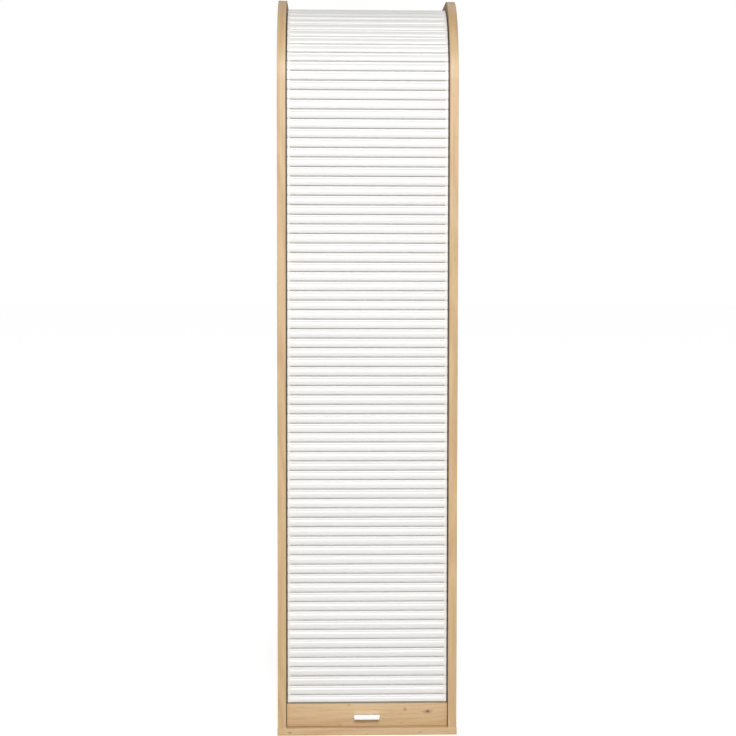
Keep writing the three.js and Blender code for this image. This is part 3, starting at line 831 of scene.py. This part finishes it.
def addSidePanel(label, side):
    node = label + "_side_panel"
    low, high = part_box(node)
    innerX, outerX = (high.x, low.x) if side < 0 else (low.x, high.x)
    front, rearFoot = panelOutline(metres(banding["proud"]))
    shape = bmesh.new()
    addPrism(shape, front + [rearFoot], innerX, outerX)
    sharpest = math.radians(sidePanel["sharpAngle"])
    sharp = [edge for edge in shape.edges if edge.is_manifold and edge.calc_face_angle() > sharpest]
    roundEdges(shape, sharp, sidePanel["edgeRound"], 1)
    board = meshFrom(shape, node, [])

    cutter = bmesh.new()
    overrun, fit = metres(sidePanel["overrun"]), metres(sidePanel["backGrooveFit"])
    mouth = innerX - side * overrun
    addPrism(cutter, grooveOutline(metres(sidePanel["trackGroove"])), mouth,
             innerX + side * metres(sidePanel["trackGrooveDepth"]))
    backLow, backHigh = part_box("back_panel")
    frontY, rearY, footZ, topZ = backLow.y - fit, backHigh.y + fit, low.z - overrun, backHigh.z + fit
    addPrism(cutter, [(frontY, footZ), (rearY, footZ), (rearY, topZ), (frontY, topZ)], mouth,
             innerX + side * metres(sidePanel["backGrooveDepth"]))
    holeEnd = innerX + side * metres(sidePanel["pinHoleDepth"])
    for shelf in shelfNames:
        for row in ("front", "rear"):
            pinLow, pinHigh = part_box(f"{shelf}_pin_{label}_{row}")
            y, z = (pinLow.y + pinHigh.y) / 2, (pinLow.z + pinHigh.z) / 2
            for step in (-1, 0, 1):
                holeZ = z + step * metres(sidePanel["pinHoleStep"])
                addRod(cutter, metres(sidePanel["pinHoleRadius"]), (mouth, y, holeZ), (holeEnd, y, holeZ))
    board = cutAway(board, meshFrom(cutter, "panelCutter", []))
    board.materials.clear()
    for material in (oakUpright, chipboard):
        board.materials.append(material)
    for face in board.polygons:
        # the rear and lower edges and the insides of the cuts show the raw chipboard
        away = min(abs(face.center.x - x) for x in (innerX, outerX))
        face.material_index = 0 if away < metres(sidePanel["faceReach"]) else 1
    finishPiece(board, label + "SideBoard", "carcass", [node], angle=30)

    line, _ = panelOutline(metres(banding["thickness"] / 2))
    middle = (innerX + outerX) / 2
    addBand(label + "SideEdging", [(middle, y, z) for y, z in line], abs(outerX - innerX), (1, 0, 0),
            oakSideBand)


for label, side in bothSides:
    addSidePanel(label, side)
print("side panels ready")

# Flat boards with a banded front edge: base, inner top and shelves

flatBoards = {
    "base_board": "baseBoard", "inner_top_panel": "innerTopPanel", "fixed_shelf": "fixedShelf",
    "shelf_1": "lowerShelf", "shelf_2": "middleShelf", "shelf_3": "upperShelf",
}
flatBoardRound = 0.25


def addFlatBoard(node, name):
    low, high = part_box(node)
    finish, bandFinish = (oakBase, oakBase) if node == "base_board" else (oakShelf, oakFlatBand)
    shape = boardShape((low.x, low.y + metres(banding["proud"]), low.z), high, flatBoardRound, 1)
    finishShape(shape, name, finish, "carcass", [node])
    middleZ, lineY = (low.z + high.z) / 2, low.y + metres(banding["thickness"] / 2)
    addBand(name + "Edging", [(low.x, lineY, middleZ), (high.x, lineY, middleZ)],
            high.z - low.z, (0, 0, 1), bandFinish)


for node, name in flatBoards.items():
    addFlatBoard(node, name)

# Plain sheets: false back and back panel

sheets = {
    "false_back": {"name": "falseBack", "finish": oakUpright, "slot": "oak_board", "edgeRound": 0.3},
    "back_panel": {"name": "backPanel", "finish": hardboard, "slot": "back_board", "edgeRound": 0.4},
}

for node, sheet in sheets.items():
    shape = boardShape(*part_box(node), sheet["edgeRound"])
    finishShape(shape, sheet["name"], sheet["finish"], "carcass", [node])


# Lead rail: its face laps over the tracks, the wood behind the face fits between them

def addLeadRail():
    low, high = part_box("lead_rail")
    thickness = metres(leadRail["edgingThickness"])
    bodyX, stepY = high.x - metres(leadRail["bodyInset"]), low.y + metres(leadRail["faceThickness"])
    outline = [(-high.x, low.y), (high.x, low.y), (high.x, stepY), (bodyX, stepY), (bodyX, high.y),
               (-bodyX, high.y), (-bodyX, stepY), (-high.x, stepY)]
    top = high.z - metres(leadRail["topGap"])
    levels = [("leadRail", low.z + thickness, top - thickness, oakRail, ["lead_rail"]),
              ("leadRailTopEdging", top - thickness, top, oakFlatBand, []),
              ("leadRailFootEdging", low.z, low.z + thickness, oakFlatBand, [])]
    for name, fromZ, toZ, finish, nodes in levels:
        shape = bmesh.new()
        skinRings(shape, [[shape.verts.new((x, y, z)) for x, y in outline] for z in (fromZ, toZ)])
        roundEdges(shape, list(shape.edges), leadRail["edgeRound"], leadRail["roundSteps"])
        finishShape(shape, name, finish, "door_lead", nodes)

    # a grey strip in the joint over the rail, whose grey is painted shade for the dark line there
    half, front = metres(leadRail["shadeStripHalf"]), low.y + metres(leadRail["shadeStripFront"])
    strip = boardShape((-half, front, top - metres(leadRail["shadeStripSunk"])),
                       (half, front + metres(leadRail["shadeStripThickness"]),
                        top + metres(leadRail["shadeStripHeight"])), leadRail["shadeStripRound"])
    finishShape(strip, "curtainJoiner", jointShadePlastic, "door_lead", [])


addLeadRail()
print("boards ready")

# Handle: an aluminium lip pull, pressed from one strip, its lip narrower than its plate

handle = {
    "wall": 2.0, "bend": 1.3, "bendSteps": 5, "innerBend": 0.5, "innerSteps": 2,
    "shift": -1.0, "plateHalf": 34.0, "lipTopHalf": 33.0, "lipFootHalf": 32.3,
    # the lip leans back towards its foot, and by this share of that at its middle
    "flangeHeight": 9.8, "footRound": 1.5, "footLean": 0.6, "middleLeanShare": 0.25,
    "shares": (0.0, 0.35, 0.7, 0.9, 0.925, 0.95, 0.975, 0.993, 1.0),
    "edgeRound": 0.35, "roundSteps": 2, "sharpAngle": 50,
    "bossRadius": 4.0, "bossLength": 3.0, "bossSides": 20, "screwSpacing": 32.0,
}


def addHandle():
    low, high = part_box("handle")
    wall, bend, inner, lean = (metres(handle[key]) for key in ("wall", "bend", "innerBend", "footLean"))
    front, back, top, foot = low.y, high.y, high.z, low.z
    flangeFoot, middle = top - metres(handle["flangeHeight"]), (top + foot) / 2
    middleLean, innerTop = lean * handle["middleLeanShare"], top - wall - inner
    innerSteps = handle["innerSteps"]
    outline = [(front + lean, foot), (front + middleLean, middle)]
    outline += arcPoints((front + bend, top - bend), bend, 180, 90, handle["bendSteps"])
    outline += [(back, top), (back, flangeFoot), (back - wall, flangeFoot)]
    outline += arcPoints((back - wall - inner, innerTop), inner, 0, 90, innerSteps)
    outline += arcPoints((front + wall + inner, innerTop), inner, 90, 180, innerSteps)
    outline += [(front + wall + middleLean, middle), (front + wall + lean, foot)]
    plate, lipTop, lipFoot, footRound, shift = (
        metres(handle[key]) for key in ("plateHalf", "lipTopHalf", "lipFootHalf", "footRound", "shift"))

    def placed(share, y, z):
        # the lip narrows from the bend down, and its lower corners are rounded
        ahead = min(1.0, max(0.0, (y - front - bend) / bend))
        half = lipTop + (plate - lipTop) * ahead
        if y < front + wall + bend and z < top - wall:
            half = lipTop + (lipFoot - lipTop) * (top - z) / (top - foot)
            past = max(0.0, abs(share) * lipFoot - (lipFoot - footRound)) / footRound
            z = max(z, foot + footRound * (1 - math.sqrt(max(0.0, 1 - past * past))))
        return share * half + shift, y, z

    shares = [-share for share in handle["shares"][:0:-1]] + list(handle["shares"])
    shape = bmesh.new()
    skinRings(shape, [[shape.verts.new(placed(share, y, z)) for y, z in outline] for share in shares])
    bossZ = (top - wall) - metres(handle["bossRadius"])
    bossStart, bossEnd = back - wall / 2, back - wall - metres(handle["bossLength"])
    for side in (-1, 1):
        x = side * metres(handle["screwSpacing"] / 2)
        addRod(shape, metres(handle["bossRadius"]), (x, bossStart, bossZ), (x, bossEnd, bossZ),
               handle["bossSides"])
    sharpAngle = handle["sharpAngle"]
    piece = finishShape(shape, "lipHandle", satinAluminium, "door_lead", ["handle"],
                        sharpAngle)
    setAll(piece.modifiers.new("soften", "BEVEL"), width=metres(handle["edgeRound"]),
           segments=handle["roundSteps"], limit_method="ANGLE", angle_limit=math.radians(sharpAngle))


addHandle()

# Glides: nylon plates that run in the tracks at the lead rail's ends

glide = {"cornerRound": 2.5, "cornerSteps": 5, "rimRound": 0.5, "rimSteps": 2, "sharpAngle": 60}


def addGlide(label):
    low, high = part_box(label + "_glide")
    shape = boardShape(low, high)
    halfDepth, sharpest = (high.y - low.y) / 2, math.radians(glide["sharpAngle"])
    across = [edge for edge in shape.edges if abs(edge.verts[0].co.y - edge.verts[1].co.y) > halfDepth]
    roundEdges(shape, across, glide["cornerRound"], glide["cornerSteps"])
    rims = [edge for edge in shape.edges if edge.calc_face_angle(0) > sharpest]
    roundEdges(shape, rims, glide["rimRound"], glide["rimSteps"])
    finishShape(shape, label + "Glide", glidePlastic, "door_lead", [label + "_glide"])


for label, _ in bothSides:
    addGlide(label)
print("handle and glides ready")

# Turned steel hardware: shelf pins and screws, one (radius, height) profile for each kind

hardware = {
    "shelfPin": [(0.0, 0.0), (2.1, 0.0), (2.5, 0.5), (2.5, 8.0), (4.3, 8.0), (4.5, 8.2), (4.5, 9.0),
                 (4.3, 9.2), (2.5, 9.2), (2.5, 17.4), (2.0, 18.2), (0.0, 18.2)],
    "baseScrew": [(0.0, 1.6), (1.2, 1.2), (1.8, 0.0), (4.7, 0.0), (5.0, 0.5), (2.6, 3.6), (2.4, 4.0),
                  (2.4, 44.0), (0.0, 48.0)],
    "handleScrew": [(0.0, 1.2), (1.0, 1.0), (1.4, 0.1), (2.4, 0.0), (3.6, 0.7), (4.0, 1.7), (4.0, 2.5),
                    (1.9, 2.5), (1.9, 23.0), (0.0, 23.5)],
    "sides": 20,
}
# each piece's CAD node and the way that it points
shelfPins = [(f"{shelf}_pin_{label}_{row}", (-side, 0, 0)) for shelf in shelfNames
             for label, side in bothSides for row in ("front", "rear")]
baseScrews = [(f"base_screw_{number}", (0, 0, 1)) for number in (1, 2, 3, 4)]
handleScrews = [(f"handle_screw_{label}", (0, -1, 0)) for label, _ in bothSides]


def turnedShape(kind):
    # A turned piece along +Z from the origin, closed at both poles
    shape = bmesh.new()
    sides = hardware["sides"]
    rings = []
    for radius, height in hardware[kind]:
        ring = []
        for i in range(sides if radius else 1):
            angle = 2 * math.pi * i / sides
            place = (metres(radius) * math.cos(angle), metres(radius) * math.sin(angle), metres(height))
            ring.append(shape.verts.new(place))
        rings.append(ring)
    for near, far in zip(rings, rings[1:]):
        for i in range(sides):
            j = (i + 1) % sides
            corners = [near[i % len(near)], near[j % len(near)], far[j % len(far)], far[i % len(far)]]
            shape.faces.new([c for k, c in enumerate(corners) if c not in corners[:k]])
    return addObject(kind, meshFrom(shape, kind, []))


def hardwareTree():
    tree, given = newTree("hardwareOnPoints", {"Part": "Object"})
    points = addNode(tree, "GeometryNodeMeshToPoints", {"Mesh": given["Geometry"]})
    shape = addNode(tree, "GeometryNodeObjectInfo", {"Object": given["Part"]}).outputs["Geometry"]
    direction = addNode(tree, "GeometryNodeInputNamedAttribute", {"Name": "pointing"},
                        data_type="FLOAT_VECTOR").outputs["Attribute"]
    turn = addNode(tree, "FunctionNodeAlignRotationToVector", {"Vector": direction}, axis="Z")
    placed = addNode(tree, "GeometryNodeInstanceOnPoints", {
        "Points": points, "Instance": shape, "Rotation": turn})
    return closeTree(tree, given, placed)


turnedTree = hardwareTree()


def addHardware(name, kind, body, pieces):
    # Each piece starts at the face of its CAD box that it points away from
    starts = []
    for node, way in pieces:
        low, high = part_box(node)
        starts.append([(a + b) / 2 - part * (b - a) / 2 for a, b, part in zip(low, high, way)])
    mesh = bpy.data.meshes.new("places")
    mesh.from_pydata(starts, [], [])
    pointing = mesh.attributes.new("pointing", "FLOAT_VECTOR", "POINT")
    pointing.data.foreach_set("vector", [part for _, way in pieces for part in way])
    pattern = turnedShape(kind)
    grown = grownMesh(turnedTree, {"Part": pattern, "Finish": zincSteel}, mesh)
    bpy.data.objects.remove(pattern)
    finishPiece(grown, name, body, [node for node, _ in pieces], angle=40)


addHardware("shelfPins", "shelfPin", "carcass", shelfPins)
addHardware("baseScrews", "baseScrew", "carcass", baseScrews)
addHardware("handleScrews", "handleScrew", "door_lead", handleScrews)
print("hardware ready")

# Nodes whose CAD shape is right keep it: tracks and hidden dowels

for node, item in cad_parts.items():
    if item.hide_render:
        continue
    finish = trackPlastic if node.endswith("_track") else beechWood
    for place in item.material_slots:
        place.material = finish
print("carried nodes finished")
